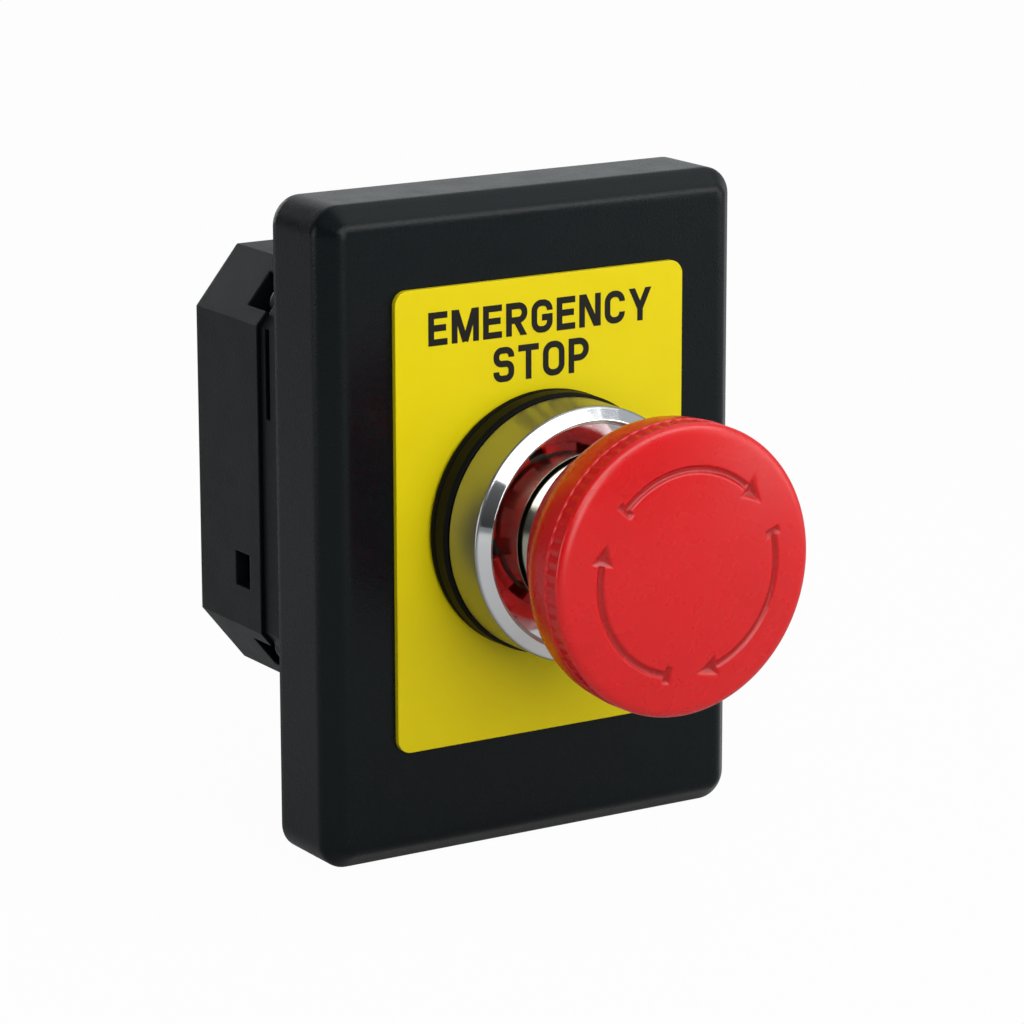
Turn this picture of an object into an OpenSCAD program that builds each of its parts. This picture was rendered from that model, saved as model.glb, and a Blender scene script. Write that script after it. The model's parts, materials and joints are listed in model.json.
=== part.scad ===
// Emergency stop pushbutton station for mounting in a panel cut-out.
// Frame: X to the right, Z up, Y into the panel. The push axis is the Y axis, and Y = 0 is the
// plane where the front cover seats on the panel. Each piece is drawn lying on its back, with
// its own Z pointing out of the panel to the operator, and facing() stands it up.

/* [Front cover] */
// Width of the front cover
cover_w = 67; // [60:1:90]
// Height of the front cover
cover_h = 92.5; // [88:0.5:130]
// Depth of the front cover, from the panel to its front face
cover_t = 14; // [12:0.5:20]
// Distance of the push axis above the middle of the front cover
axis_rise = 0.4; // [0:0.1:2]
// Radius of the front cover's upright corner edges
cover_corner_r = 4; // [3.8:0.1:6]
// Width of the bevel round the front face, measured on the face
bevel_inset = 2.7; // [1:0.1:4]
// Depth of the bevel round the front face, measured along the sides
bevel_depth = 3.1; // [1:0.1:5]
// Thickness of the cover's front wall
cover_wall = 3; // [2:0.2:4]

/* [Legend plate] */
// Width of the legend plate
legend_w = 46.4; // [42:0.2:56]
// Height of the legend plate
legend_h = 64.5; // [60:0.5:80]
// Thickness of the legend plate
legend_t = 0.8; // [0.5:0.1:1.5]
// Distance of the legend plate's middle above the push axis
legend_rise = 1.75; // [0:0.25:4]
// Corner radius of the legend plate
legend_corner_r = 2; // [1:0.5:4]

/* [Operator] */
// Outer radius of the threaded barrel
barrel_r = 15; // [14:0.25:18]
// Wall thickness of the barrel outside its smooth bore
barrel_wall = 3.72; // [3:0.02:4.5]
// Width of the bezel ring beyond the barrel
bezel_wall = 2.85; // [2.25:0.05:4]
// Height of the bezel ring's side wall
bezel_h = 6.7; // [5:0.1:9]
// Thickness of the rubber washer under the bezel
washer_t = 2; // [1:0.5:3]
// Thickness of the black trim ring under the bezel
trim_t = 2.9; // [2:0.1:4]

/* [Head] */
// Largest radius of the mushroom head
head_r = 20; // [18:0.5:25]
// Width of the head's rear rim beyond the neck
head_overhang = 4; // [3.6:0.1:4.6]
// Depth of the head from its rear rim to the middle of its face
head_h = 17.2; // [14:0.2:21]
// Gap between the bezel's front edge and the head's rear rim
head_gap = 7; // [6.2:0.1:10]
// Wall thickness of the head
head_wall = 2.4; // [1.8:0.2:3]

/* [Rear housing] */
// Distance of the rear housing's sides inside the sides of the front cover
housing_side = 7.3; // [6:0.1:9]
// Height of the rear housing
housing_h = 61.6; // [60:0.2:72]
// Distance of the rear housing's middle above the push axis
housing_rise = 1.8; // [0:0.05:3]
// Gap between the contact blocks and the rear wall of the housing
housing_gap = 1.6; // [0.5:0.1:12]
// Depth of the fixed frame between the panel plane and the rear housing
frame_d = 18.6; // [16:0.2:19]
// Width that each corner chamfer takes off the rear housing
chamfer_w = 6.8; // [5:0.1:8]
// Height that each corner chamfer takes off the rear housing
chamfer_h = 8.4; // [7:0.1:10]
// Wall thickness of the rear housing
housing_wall = 2; // [1.6:0.2:2.4]
// Radius of the cable hole in the bottom wall
cable_r = 5; // [3:0.25:6]

/* [Mounting] */
// Distance of the fixing inserts from the sides of the cover
insert_side = 11.5; // [6:0.5:14]
// Distance of the fixing inserts from the top and bottom edges of the cover
insert_end = 6.75; // [6:0.25:8]
// Radius of the tapped hole in each fixing insert
insert_hole_r = 1.65; // [1.25:0.05:2.1]

/* [Motion] */
// Travel of the head from released to latched
push_travel = 5.5; // [4:0.1:6]
// Angle through which the head turns to release the latch
twist_angle = 30; // [20:1:40]

/* [Hidden] */
$fn = 64;
// Tiny overlap that lets a cut break cleanly through a face
eps = 0.01;
// Clearance between loose pieces, round and flat
clear = 0.3;
// Running clearance on a radius, for pieces that slide or turn in each other
run = 0.08;
// Clearance on a radius between pieces that are fixed together
snug = 0.05;
// Clearance of what drops over the barrel and its key
slack = 0.2;

// Heights above the panel plane, from the panel out to the operator
rim_rise = 1.4;
barrel_sink = 1.9;
legend_top = cover_t + legend_t;
trim_z = legend_top + washer_t;
bezel_z = trim_z + trim_t;
bezel_edge = bezel_z + bezel_h;
bezel_top = bezel_edge + rim_rise;
barrel_top = bezel_edge - barrel_sink;
head_z = bezel_top + head_gap;
head_top = head_z + head_h;
bay_roof = cover_t - cover_wall;
bezel_r = barrel_r + bezel_wall;
neck_r = barrel_r - barrel_wall - run;
head_rear_r = neck_r + head_overhang;

// Front cover: groove for the panel seal, fixing inserts and cored cells
seal_w = 1.6;
seal_d = 1.4;
seal_edge = 1.2;
seal_corner_r = 0.8;
insert_x = cover_w - 2 * insert_side;
insert_z = cover_h - 2 * insert_end;
insert_r = 2.8;
insert_l = 7.5;
insert_sink = 0.2;
cell_w = 7.2;
cell_rib = 1.6;
cell_wall = 1.6;
cell_edge = 3.6;
cell_roof = 2;
cell_count = 4;

// Barrel, from its open front to its shouldered rear end
bore_r = neck_r + run;
barrel_z = -6;
shoulder_t = 2;
shoulder_top = barrel_z + shoulder_t;
shaft_r = 6.9;
shaft_bore_r = shaft_r + run;
wiper_r = bore_r + 2;
wiper_t = 2.5;
wiper_z = barrel_top - wiper_t;
latch_t = 1.2;
latch_depth = 1;
key_w = 2.6;
key_h = 1;
key_r = barrel_r + key_h;

// Rings in front of the legend plate, and the nut and washer behind the cover's front wall
washer_reach = 0.5;
trim_reach = 0.45;
trim_undercut = 0.4;
rim_seat = 1.9;
rim_lean = 0.35;
dish_r = neck_r + 0.4;
dish_drop = 1.1;
dish_rise = 0.35;
lock_t = 0.9;
lock_reach = 4;
nut_t = 5;
nut_across = 2 * barrel_r + 6;

// Plunger, guided in the shoulder and carrying the neck
flange_r = neck_r - 0.3;
spring_room = 6.5;
flange_z = shoulder_top + push_travel + spring_room;
flange_t = 2.5;
flange_top = flange_z + flange_t;
latch_z = flange_top - push_travel + 0.5;
pivot_r = 5;
guide_w = 2;
guide_r = 8.4;
plunger_z = -9;
bar_t = 1.5;
bar_z = plunger_z - bar_t;
stub_r = 3.5;
screw_r = 1.45;
screw_head_r = 2.6;
screw_bite = 5.5;

// Neck, which turns on the plunger's pivot and slides in the barrel, and the screw that holds the head on it
neck_rear = flange_top + clear;
skirt_r = neck_r - 1.1;
skirt_h = 3.2;
neck_bore_r = 8.5;
neck_shoulder = head_z + 1.8;
pivot_roof = neck_shoulder - 4.2;
neck_cavity_top = pivot_roof - 1.8;
dog_a = 14;
dog_reach = 2.4;
spigot_r = 7;
face_t = 3.2;
hub_roof = 3.2;
hub_top = head_top - face_t;
spigot_h = hub_top - neck_shoulder - hub_roof;
hub_r = neck_r + 0.3;
head_screw_r = 1.95;
head_screw_l = 7;

// Head: flare, knurl and rim
flare_h = 0.465 * head_h;
flare_r = 6;
knurl_drop = 4.8;
knurl_z = head_top - knurl_drop;
knurl_h = 2.2;
knurl_seat = 1;
knurl_lap = 0.3;
rim_w = 2.1;
rim_h = 1.1;
rim_step = 0.1;

// Rear housing and the frame that carries it
housing_w = cover_w - 2 * housing_side;
half_w = housing_w / 2;
frame_inset = 0.6;
frame_wall = 2.2;
lug_r = 3.6;
pocket = screw_head_r + clear;
pocket_d = 5.4;
pocket_wall = 1.3;
frame_tongue = 2;
lug_in = screw_r + 1.25;
lug_turn = atan2(chamfer_w, chamfer_h);
lug_x = half_w - chamfer_w / 2 - lug_in * cos(lug_turn);
lug_up = housing_h / 2 - chamfer_h / 2 - lug_in * sin(lug_turn);
window_up = -14.8;
window_h = 5.1;
window_z = -7.3;
window_d = 4.2;
slot_up = 11;
slot_h = 13;
cable_z = -27.6;

// Contact blocks, behind the carrier
block_x = 9.5;
block_w = 13;
block_h = 34;
block_top = bar_z - push_travel - 1;
block_d = push_travel + 11;
block_rear = block_top - block_d;
carrier_z = -8.5;
carrier_t = barrel_z - carrier_z;
strip_top = block_top - 3;
strip_t = 0.8;
clamp_t = 1.2;
clamp_top = strip_top - strip_t - 2.6;
button_t = 0.5;
contact_gap = 0.05;
button_r = 1.3;
pin_r = 0.9;
pin_l = 3.6;
strip_w = 5;
guide_gap = 0.1;
terminal_hole_r = screw_r + 0.15;
catch_reach = 2.6;
bridge_top = strip_top - strip_t - 2 * button_t - contact_gap;
bridge_t = 0.8;
contact_up = 6.2;
terminal_up = 13;
slider_w = 4;
slider_top = bar_z - clear;
block_floor = block_rear + 1.5;
housing_floor_t = housing_wall + 0.2;
housing_d = housing_gap + housing_floor_t - block_rear;
catch_z = block_top - 2;
catch_w = 0.8;
catch_d = 0.7;

// Stands a piece up, so that its own Z faces the operator
module facing() {
    rotate([90, 0, 0])
        children();
}

// Points of an arc about a centre, from one angle to another
function arc(centre, r, from, to, steps) =
    [for (i = [0:steps]) let (a = from + (to - from) * i / steps) centre + r * [cos(a), sin(a)]];

// Points that round the corner at b, on the way from a to c, with radius r
function rounded(a, b, c, r, steps = 4) =
    let (u = (a - b) / norm(a - b), v = (c - b) / norm(c - b))
    let (half = acos(max(-1, min(1, u * v))) / 2, m = (u + v) / norm(u + v))
    let (o = b + m * r / sin(half), p = b + u * r / tan(half) - o, q = b + v * r / tan(half) - o)
    [for (i = [0:steps]) let (t = i / steps, w = p * (1 - t) + q * t) o + w * r / norm(w)];

// A rectangle with round corners, centred
module rounded_rect(w, h, r) {
    union() {
        square([w - 2 * r, h], center = true);
        square([w, h - 2 * r], center = true);
        for (x = [-1, 1], y = [-1, 1])
            translate([x * (w / 2 - r), y * (h / 2 - r)])
                circle(r);
    }
}

// What is left of one leg of a corner chamfer on an outline that lies inside the first
function chamfer_cut(leg, other, inset) = leg - inset * (1 - (norm([leg, other]) - leg) / other);

// The chamfered outline of the rear housing, moved in by an even inset
module housing_outline(inset) {
    x = half_w - inset;
    top = housing_rise + housing_h / 2 - inset;
    low = housing_rise - housing_h / 2 + inset;
    w = chamfer_cut(chamfer_w, chamfer_h, inset);
    h = chamfer_cut(chamfer_h, chamfer_w, inset);
    polygon([
        [x, low + h], [x, top - h], [x - w, top], [w - x, top],
        [-x, top - h], [-x, low + h], [w - x, low], [x - w, low]]);
}

// Places its children at the four lugs, mirrored so that each faces its own corner
module at_lugs() {
    for (x = [-1, 1], y = [-1, 1])
        translate([x * lug_x, housing_rise + y * lug_up])
            scale_mirror(x, y)
                children();
}

// Mirrors its children to the left for x = -1 and downwards for y = -1
module scale_mirror(x, y) {
    mirror([x < 0 ? 1 : 0, 0, 0])
        mirror([0, y < 0 ? 1 : 0, 0])
            children();
}

// Places its children at the four fixing inserts
module at_inserts() {
    for (x = [-1, 1], y = [-1, 1])
        translate([x * insert_x / 2, y * insert_z / 2])
            children();
}

// A tube that stands on z
module tube(r, bore, z, h) {
    translate([0, 0, z])
        difference() {
            cylinder(r = r, h = h);
            translate([0, 0, -eps])
                cylinder(r = bore, h = h + 2 * eps);
        }
}

// A round cut from z upwards
module bore(r, z, h) {
    translate([0, 0, z])
        cylinder(r = r, h = h);
}

// A screw whose head starts at head_z and lies towards +Z, with a cross recess
module pan_screw(shank_r, shank_l, head_r, head_t) {
    difference() {
        union() {
            translate([0, 0, -shank_l])
                cylinder(r = shank_r, h = shank_l + eps);
            rotate_extrude()
                polygon(concat([[0, 0], [head_r, 0]],
                    rounded([head_r, 0], [head_r, head_t], [0, head_t], 0.45 * head_t, 3), [[0, head_t]]));
        }
        for (a = [0, 90])
            rotate([0, 0, a])
                translate([-0.62 * head_r, -0.3, 0.45 * head_t])
                    cube([1.24 * head_r, 0.6, head_t]);
    }
}

// A wire coil between two heights, swept as rings of a few sides each
module coil(mean_r, wire_r, z, h, turns, per_turn = 16, sides = 6) {
    n = turns * per_turn;
    pitch = (h - 2 * wire_r) / turns;
    rings = [for (i = [0:n], k = [0:sides - 1])
        let (a = 360 * i / per_turn, b = 360 * k / sides, r = mean_r + wire_r * cos(b))
            [r * cos(a), r * sin(a), z + wire_r + pitch * i / per_turn + wire_r * sin(b)]];
    skin = [for (i = [0:n - 1], k = [0:sides - 1])
        let (a = i * sides + k, b = i * sides + (k + 1) % sides)
            each [[b, a, b + sides], [a, a + sides, b + sides]]];
    first = [for (k = [1:sides - 2]) [0, k + 1, k]];
    last = [for (k = [1:sides - 2]) [n * sides, n * sides + k, n * sides + k + 1]];
    polyhedron(points = rings, faces = concat(skin, first, last), convexity = 10);
}

// Half of the cover's section across its front edge, with the bevel softened at both ends
function cover_edge(half) =
    let (front_round = min(2, 1.5 * (cover_corner_r - bevel_inset)))
    let (a = [half, 0], b = [half, cover_t - bevel_depth])
    let (c = [half - bevel_inset, cover_t], d = [0, cover_t])
    concat([a], rounded(a, b, c, 1.2), rounded(b, c, d, front_round), [d]);

// The same section on both sides of the middle
module cover_section(half) {
    right = cover_edge(half);
    n = len(right);
    polygon(concat(right, [for (i = [0:n - 1]) [-right[n - 1 - i][0], right[n - 1 - i][1]]]));
}

// Solid outside form of the front cover: an upright block bevelled round its front
module cover_block() {
    side = cover_w / 2 - cover_corner_r;
    end = cover_h / 2 - cover_corner_r;
    translate([0, -axis_rise, 0])
        union() {
            rotate([90, 0, 0])
                linear_extrude(2 * end, center = true)
                    cover_section(cover_w / 2);
            rotate([90, 0, 90])
                linear_extrude(2 * side, center = true)
                    cover_section(cover_h / 2);
            for (x = [-1, 1], y = [-1, 1])
                translate([x * side, y * end, 0])
                    rotate([0, 0, atan2(y, x) - 45])
                        rotate_extrude(angle = 90)
                            polygon(concat([[0, 0]], cover_edge(cover_corner_r)));
        }
}

// Groove for the panel seal, round the back of the cover
module seal_path(grow) {
    difference() {
        rounded_rect(cover_w - 2 * seal_edge + 2 * grow, cover_h - 2 * seal_edge + 2 * grow,
            cover_corner_r - seal_edge + grow);
        rounded_rect(cover_w - 2 * seal_edge - 2 * seal_w - 2 * grow,
            cover_h - 2 * seal_edge - 2 * seal_w - 2 * grow, seal_corner_r);
    }
}

// Cored cells between the cover's top or bottom wall and the bay, from one height to another
module cover_cells(low, high) {
    for (i = [0:cell_count - 1])
        translate([(i - cell_count / 2) * (cell_w + cell_rib) + cell_rib / 2, low, -eps])
            cube([cell_w, high - low, bay_roof - cell_roof + eps]);
}

module front_cover() {
    color([0.11, 0.12, 0.13])
    facing() {
        top = cover_h / 2 - axis_rise - cell_edge;
        low = -cover_h / 2 - axis_rise + cell_edge;
        difference() {
            union() {
                difference() {
                    cover_block();
                    translate([0, 0, -eps])
                        linear_extrude(bay_roof + eps)
                            housing_outline(frame_inset - clear);
                }
                at_lugs()
                    bore(lug_r, frame_tongue, bay_roof - frame_tongue + eps);
            }
            at_lugs()
                bore(lug_r + clear, -eps, frame_tongue + eps);
            barrel_hole(-eps, cover_t + 1);
            at_lugs()
                bore(screw_r + snug, -eps, frame_tongue + screw_bite + 1.5);
            at_inserts()
                bore(insert_r + snug, -eps, insert_l + 0.5);
            translate([0, -axis_rise, -eps])
                linear_extrude(seal_d + eps)
                    seal_path(snug);
            cover_cells(housing_rise + housing_h / 2 + cell_wall, top);
            cover_cells(low, housing_rise - housing_h / 2 - cell_wall);
        }
    }
}

module panel_seal() {
    color([0.05, 0.05, 0.05])
    facing()
        translate([0, -axis_rise, 0])
            linear_extrude(seal_d - snug)
                seal_path(-snug);
}

// Brass inserts with a groove round the middle
module fixing_inserts() {
    groove_w = 1.2;
    groove_d = 0.35;
    color([0.78, 0.62, 0.28])
    facing()
        at_inserts()
            difference() {
                tube(insert_r, insert_hole_r, insert_sink, insert_l);
                tube(insert_r + 1, insert_r - groove_d, insert_sink + (insert_l - groove_w) / 2, groove_w);
            }
}

module legend_plate() {
    color([0.93, 0.80, 0.05])
    facing()
        translate([0, 0, cover_t])
            difference() {
                translate([0, legend_rise, 0])
                    linear_extrude(legend_t)
                        rounded_rect(legend_w, legend_h, legend_corner_r);
                barrel_hole(-eps, legend_t + 1);
            }
}

// Hole for the barrel and its key, from z upwards
module barrel_hole(z, h) {
    bore(barrel_r + slack, z, h);
    translate([-key_w / 2 - slack, 0, z])
        cube([key_w + 2 * slack, key_r + slack, h]);
}

// Rubber washer with a bulged outer edge
module sealing_washer() {
    bulge = washer_t / 2;
    color([0.04, 0.04, 0.04])
    facing()
        translate([0, 0, legend_top])
            rotate_extrude()
                polygon(concat([[key_r + slack, washer_t], [key_r + slack, 0]],
                    arc([bezel_r + washer_reach - bulge, bulge], bulge, -90, 90, 8)));
}

// Black trim ring, undercut where it meets the bezel
module trim_ring() {
    edge_r = bezel_r + trim_reach;
    under_r = bezel_r - trim_undercut;
    under_z = trim_t - trim_undercut;
    color([0.07, 0.07, 0.08])
    facing()
        translate([0, 0, trim_z])
            rotate_extrude()
                polygon([
                    [barrel_r + clear, 0], [edge_r, 0], [edge_r, under_z - 0.5], [edge_r - 0.35, under_z],
                    [under_r, under_z], [under_r, trim_t], [barrel_r + clear, trim_t]]);
}

// Bezel ring: side wall, sloped rim, sunk dish round the neck, and its seat on the barrel
module bezel_ring() {
    outer = [bezel_r, bezel_edge];
    crest = [bezel_r - rim_seat, bezel_top];
    foot = [crest[0] - rim_lean, bezel_top - dish_drop];
    lip = [dish_r, foot[1] + dish_rise];
    edge_r = 0.5;
    crest_r = 0.2;
    color([0.86, 0.87, 0.88])
    facing()
        rotate_extrude()
            polygon(concat(
                [[barrel_r + clear, bezel_z], [bezel_r, bezel_z]],
                rounded([bezel_r, bezel_z], outer, crest, edge_r),
                rounded(outer, crest, foot, crest_r),
                rounded(crest, foot, lip, crest_r),
                [lip, [dish_r, barrel_top + snug], [barrel_r + clear, barrel_top + snug]]));
}

// Threaded barrel with a keyed front, a wiper seat, a latch groove and a guided rear shoulder
module barrel() {
    color([0.72, 0.73, 0.74])
    facing()
        difference() {
            union() {
                bore(barrel_r, barrel_z, barrel_top - barrel_z);
                translate([-key_w / 2, 0, bay_roof])
                    cube([key_w, key_r, legend_top - bay_roof]);
            }
            bore(bore_r, shoulder_top, barrel_top - shoulder_top + eps);
            bore(wiper_r, wiper_z, barrel_top);
            bore(bore_r + latch_depth, latch_z, latch_t);
            bore(shaft_bore_r, barrel_z - eps, shoulder_t + 1);
            translate([-guide_r - clear, -guide_w / 2 - clear, barrel_z - eps])
                cube([2 * (guide_r + clear), guide_w + 2 * clear, shoulder_t + 1]);
        }
}

// Toothed washer between the cover and the nut
module lock_washer() {
    teeth = 18;
    notch_w = 1.8;
    notch_d = 1.4;
    lock_z = bay_roof - lock_t;
    color([0.70, 0.71, 0.72])
    facing()
        difference() {
            tube(barrel_r + lock_reach, barrel_r + slack, lock_z, lock_t);
            for (i = [0:teeth - 1])
                rotate([0, 0, 360 * (i + 0.5) / teeth])
                    translate([barrel_r + lock_reach - notch_d, -notch_w / 2, lock_z - eps])
                        cube([2 * notch_d, notch_w, lock_t + 2 * eps]);
        }
}

// Hexagonal nut with its rear corners turned off
module mounting_nut() {
    face_r = nut_across / 2 + 0.3;
    nut_z = bay_roof - lock_t - nut_t;
    color([0.66, 0.67, 0.69])
    facing()
        difference() {
            intersection() {
                translate([0, 0, nut_z])
                    cylinder(r = nut_across / 2 / cos(30), h = nut_t, $fn = 6);
                translate([0, 0, nut_z])
                    cylinder(r1 = face_r, r2 = face_r + 2 * nut_t, h = 2 * nut_t);
            }
            bore(barrel_r + snug, nut_z - eps, nut_t + 1);
        }
}

// Rubber wiper whose lip runs on the neck
module neck_wiper() {
    web_r = neck_r + 1;
    lip_r = neck_r + run;
    lip_t = 0.4;
    color([0.05, 0.05, 0.05])
    facing()
        rotate_extrude()
            polygon([[wiper_r - snug, wiper_z], [wiper_r - snug, barrel_top], [web_r, barrel_top],
                [lip_r, barrel_top - lip_t], [lip_r, barrel_top - 2 * lip_t],
                [web_r, wiper_z + 2 * lip_t], [web_r, wiper_z]]);
}

// Split spring ring that the plunger's flange snaps past
module latch_ring() {
    wire = latch_t - 0.2;
    grip = 0.55;
    ring_in = flange_r - grip;
    color([0.62, 0.64, 0.66])
    facing()
        rotate([0, 0, 20])
            rotate_extrude(angle = 320)
                translate([ring_in + wire / 2, latch_z + latch_t / 2])
                    circle(wire / 2, $fn = 24);
}

module return_spring() {
    wire_r = 0.5;
    turns = 5;
    color([0.62, 0.64, 0.66])
    facing()
        coil(guide_r + wire_r + 0.4, wire_r, shoulder_top + snug, flange_z - shoulder_top - 2 * snug, turns);
}

// Keyed pusher: pivot for the neck, slotted flange, guided shaft and a stub for the bar
module plunger() {
    slot_a = dog_a + 3;
    thread_l = 7;
    color([0.80, 0.80, 0.76])
    facing()
        difference() {
            union() {
                bore(pivot_r, flange_top - eps, pivot_roof - clear - flange_top);
                bore(flange_r, flange_z, flange_t);
                bore(shaft_r, plunger_z, flange_z - plunger_z + eps);
                bore(stub_r, bar_z, bar_t + eps);
                translate([-guide_r, -guide_w / 2, plunger_z])
                    cube([2 * guide_r, guide_w, flange_z - plunger_z - 0.5]);
            }
            for (side = [0, 180])
                rotate([0, 0, side + slot_a / 2 - slot_a - twist_angle])
                    rotate_extrude(angle = slot_a + twist_angle)
                        translate([neck_bore_r - 0.1, flange_z - eps])
                            square([flange_r - neck_bore_r + 1, flange_t + 2 * eps]);
            bore(screw_r + snug, bar_z - eps, thread_l);
        }
}

// Flat bar that presses both contact sliders
module actuator_bar() {
    reach = block_x + slider_w / 2 + 1;
    depth = 2 * stub_r + 3;
    corner_r = 2;
    color([0.70, 0.71, 0.72])
    facing()
        difference() {
            translate([0, 0, bar_z])
                linear_extrude(bar_t)
                    rounded_rect(2 * reach, depth, corner_r);
            bore(stub_r + snug, bar_z - eps, bar_t + 1);
        }
}

module plunger_screw() {
    shank_l = 6;
    head_t = 1.6;
    color([0.70, 0.71, 0.72])
    facing()
        translate([0, 0, bar_z])
            mirror([0, 0, 1])
                pan_screw(screw_r, shank_l, screw_head_r + clear, head_t);
}

// Outline of the head: its flare up to the knurl, its rim above the knurl and its domed face
function head_flare() =
    let (a = [head_rear_r, head_z], b = [head_r - 0.4, head_z + flare_h], c = [head_r, knurl_z])
    concat([a], rounded(a, b, c, flare_r, 5), [c]);
function head_rim(a) =
    [head_r - rim_step - rim_w * (1 - cos(a)), knurl_z + knurl_h + rim_step + rim_h * sin(a)];
function head_face(edge) =
    let (rise = head_top - edge[1], r = (edge[0] * edge[0] + rise * rise) / (2 * rise))
    let (half = asin(edge[0] / r))
    [for (i = [1:8]) let (a = half * (1 - i / 8)) [r * sin(a), head_top - r + r * cos(a)]];

// Outer form of the head, without its knurl
module head_form() {
    knurl_top = knurl_z + knurl_h;
    rotate_extrude()
        polygon(concat([[0, head_z]], head_flare(),
            [[head_r - knurl_seat, knurl_z], [head_r - knurl_seat, knurl_top],
                [head_r - rim_step, knurl_top]],
            [for (a = [0:15:75]) head_rim(a)],
            head_face(head_rim(75))));
}

// Toothed ring of the knurl, let into the head above and below
module knurl_ring() {
    teeth = 72;
    tip_r = head_r - 0.2;
    root_r = head_r - 0.6;
    translate([0, 0, knurl_z - knurl_lap])
        linear_extrude(knurl_h + 2 * knurl_lap)
            difference() {
                polygon([for (i = [0:2 * teeth - 1])
                    let (r = i % 2 == 0 ? tip_r : root_r, a = 180 * i / teeth) r * [cos(a), sin(a)]]);
                circle(root_r - knurl_seat);
            }
}

// Mushroom head: a hollow cap with ribs round the hub, a slotted web at its rear and a knurled band
module mushroom_head() {
    ribs = 9;
    rib_t = 1.4;
    rib_z = head_z + 0.6;
    taper = 1.5;
    inner_top = hub_top + clear;
    inner_r = head_rear_r - head_wall;
    wide_r = head_r - head_wall - 0.6;
    web_z = head_z + 0.3;
    web_t = 1.4;
    web_r = inner_r + 1.5;
    slot_a = 15;
    color([0.83, 0.10, 0.11])
    facing()
        union() {
            difference() {
                head_form();
                rotate_extrude()
                    polygon([
                        [0, head_z - 1], [inner_r, head_z - 1], [inner_r, head_z],
                        [wide_r, head_z + flare_h - 0.5], [wide_r, inner_top - taper],
                        [wide_r - taper, inner_top], [0, inner_top]]);
            }
            knurl_ring();
            difference() {
                tube(web_r, hub_r + snug, web_z, web_t);
                for (i = [0:ribs - 1])
                    rotate([0, 0, 360 * (i + 0.75) / ribs - slot_a / 2])
                        rotate_extrude(angle = slot_a)
                            translate([hub_r - 1, web_z - eps])
                                square([inner_r - hub_r + 1, web_t + 2 * eps]);
            }
            intersection() {
                head_form();
                for (i = [0:ribs - 1])
                    rotate([0, 0, 360 * (i + 0.25) / ribs])
                        translate([hub_r + snug, -rib_t / 2, rib_z])
                            cube([wide_r - hub_r + 0.6, rib_t, inner_top - head_z]);
            }
        }
}

// Hub that keys the neck's spigot to the head
module head_hub() {
    access_r = 3.8;
    color([0.25, 0.26, 0.27])
    facing()
        difference() {
            bore(hub_r, neck_shoulder, hub_top - neck_shoulder);
            difference() {
                bore(spigot_r + snug, neck_shoulder - eps, spigot_h + snug);
                flats(spigot_r - 1 + snug);
            }
            bore(access_r, neck_shoulder + spigot_h, 2 * hub_roof);
        }
}

// Two blocks that leave flats at a distance from the axis on both sides
module flats(from) {
    for (a = [0, 180])
        rotate([0, 0, a])
            translate([from, -10, neck_shoulder - 1])
                cube([5, 20, spigot_h + 4]);
}

module head_screw() {
    head_r = 3.5;
    head_t = 2;
    color([0.72, 0.73, 0.74])
    facing()
        translate([0, 0, neck_shoulder + spigot_h + snug])
            pan_screw(head_screw_r, head_screw_l, head_r, head_t);
}

// Polished neck: sliding sleeve, closed front with a pivot socket, flatted spigot and two rear dogs
module neck() {
    color([0.80, 0.81, 0.82])
    facing()
        difference() {
            union() {
                bore(skirt_r, neck_rear, skirt_h + eps);
                bore(neck_r, neck_rear + skirt_h, neck_shoulder - neck_rear - skirt_h);
                difference() {
                    bore(spigot_r, neck_shoulder - eps, spigot_h + eps);
                    flats(spigot_r - 1);
                }
                for (side = [0, 180])
                    rotate([0, 0, side - dog_a / 2])
                        rotate_extrude(angle = dog_a)
                            translate([neck_bore_r + 0.1, neck_rear - dog_reach])
                                square([skirt_r - neck_bore_r - 0.2, dog_reach + 1]);
            }
            bore(neck_bore_r, neck_rear - eps, neck_cavity_top - neck_rear + eps);
            bore(pivot_r + run, neck_rear, pivot_roof - neck_rear);
            bore(head_screw_r + snug, neck_shoulder + spigot_h - head_screw_l - 0.5, head_screw_l + 1);
        }
}

module release_spring() {
    wire_r = 0.45;
    mean_r = 6.9;
    turns = 7;
    color([0.62, 0.64, 0.66])
    facing()
        coil(mean_r, wire_r, neck_rear + 1, neck_cavity_top - neck_rear - 1.5, turns);
}

// Carrier: a ring round the barrel's rear, a plate and two legs that snap on the contact blocks
module contact_carrier() {
    ring_r = barrel_r + 2.6;
    ring_h = 10;
    stop_w = 1.8;
    leg_up = block_h / 2 + clear;
    leg_t = 2;
    plate_w = 2 * block_x + block_w + 4;
    color([0.16, 0.17, 0.18])
    facing()
        difference() {
            union() {
                bore(ring_r, carrier_z, ring_h);
                translate([-plate_w / 2, -leg_up - leg_t, carrier_z])
                    cube([plate_w, 2 * (leg_up + leg_t), carrier_t]);
                for (y = [-1, 1])
                    scale_mirror(1, y) {
                        translate([-plate_w / 2, leg_up, block_top - catch_reach])
                            cube([plate_w, leg_t, carrier_z - block_top + catch_reach + eps]);
                        translate([-plate_w / 2, leg_up - catch_d + snug, catch_z])
                            cube([plate_w, catch_d, catch_w - 2 * snug]);
                        translate([-plate_w / 2, leg_up - stop_w, block_top])
                            cube([plate_w, stop_w + eps, carrier_z - block_top + eps]);
                    }
            }
            bore(guide_r + 0.8, carrier_z - 1, ring_h + 2);
            bore(barrel_r + 2 * snug, barrel_z, ring_h);
            for (x = [-1, 1])
                translate([x * block_x - slider_w / 2 - clear, -slider_w / 2 - clear, carrier_z - 1])
                    cube([slider_w + 2 * clear, slider_w + 2 * clear, carrier_t + 1.5]);
        }
}

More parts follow.
